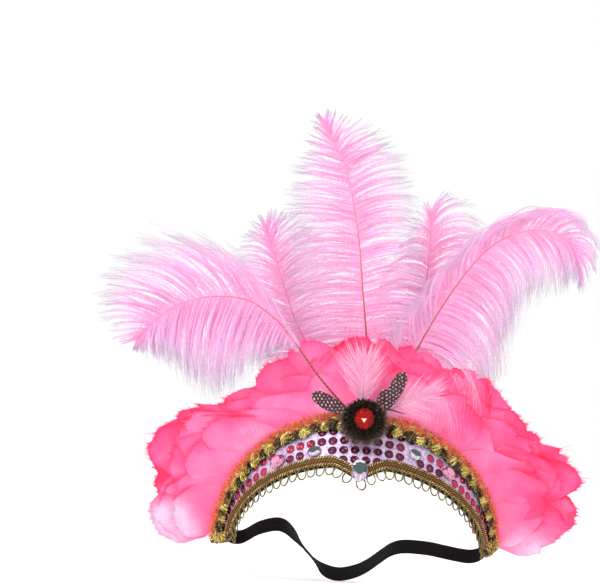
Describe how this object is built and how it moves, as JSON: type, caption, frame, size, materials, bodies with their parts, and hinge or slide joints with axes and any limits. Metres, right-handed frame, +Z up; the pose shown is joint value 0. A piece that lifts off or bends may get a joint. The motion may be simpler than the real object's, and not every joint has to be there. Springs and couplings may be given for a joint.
{
  "type": "carnival feather headdress",
  "caption": "Carnival headdress: a sequined crescent band with gold trims, clear stones, a jewelled rosette, a feather ruff, ostrich plumes and an elastic strap.",
  "frame": {"origin": "middle of the head opening, half way between the two ends of the band's lower edge", "axes": "+Y points from the wearer's forehead to the back of the head, +Z up, +X to the wearer's left"},
  "size_m": [0.3557, 0.1334, 0.3527],
  "materials": {
    "black_felt": "matt black felt",
    "lilac_fabric": "lilac metallic fabric, lightly embossed, set with burgundy cup sequins",
    "gold_gimp": "antique gold metallic cords",
    "tinsel_braid": "gold and black tinsel with an orange fringe",
    "clear_stone": "faceted, foil backed",
    "red_jewel": "faceted, deep red",
    "brown_fur": "short dark brown pile",
    "guinea_feather": "dark wine with pale dots",
    "pale_hackle": "pale pink, soft",
    "ostrich_plume": "pale pink barbs on copper-rose quills",
    "ruff_feather": "hot pink, soft webs",
    "black_elastic": "woven, matt"
  },
  "bodies": {
    "root": {"band_backing": "black_felt", "bare_quill": "guinea_feather", "elastic_strap": "black_elastic", "end_binding_left": "tinsel_braid", "end_binding_right": "tinsel_braid", "fur_rosette": "brown_fur", "guinea_feather_left_long": "guinea_feather", "guinea_feather_left_short": "guinea_feather", "guinea_feather_right": "guinea_feather", "hackle_puff_left": "pale_hackle", "hackle_puff_middle": "pale_hackle", "lower_gimp": "gold_gimp", "plume_back_left": "ostrich_plume", "plume_back_right": "ostrich_plume", "plume_left": "ostrich_plume", "plume_middle": "ostrich_plume", "plume_right": "ostrich_plume", "red_jewel": "red_jewel", "ruff_feather_back_1": "ruff_feather", "ruff_feather_back_2": "ruff_feather", "ruff_feather_back_3": "ruff_feather", "ruff_feather_back_4": "ruff_feather", "ruff_feather_back_5": "ruff_feather", "ruff_feather_back_6": "ruff_feather", "ruff_feather_back_7": "ruff_feather", "ruff_feather_back_8": "ruff_feather", "ruff_feather_back_9": "ruff_feather", "ruff_feather_front_1": "ruff_feather", "ruff_feather_front_2": "ruff_feather", "ruff_feather_front_3": "ruff_feather", "ruff_feather_front_4": "ruff_feather", "ruff_feather_front_5": "ruff_feather", "ruff_feather_front_6": "ruff_feather", "ruff_feather_front_7": "ruff_feather", "ruff_feather_middle_1": "ruff_feather", "ruff_feather_middle_2": "ruff_feather", "ruff_feather_middle_3": "ruff_feather", "ruff_feather_middle_4": "ruff_feather", "ruff_feather_middle_5": "ruff_feather", "ruff_feather_middle_6": "ruff_feather", "ruff_feather_middle_7": "ruff_feather", "ruff_feather_middle_8": "ruff_feather", "sequin_fabric": "lilac_fabric", "stone_inner_left": "clear_stone", "stone_inner_right": "clear_stone", "stone_middle": "clear_stone", "stone_outer_left": "clear_stone", "stone_outer_right": "clear_stone", "upper_braid": "tinsel_braid"}
  },
  "joints": []
}
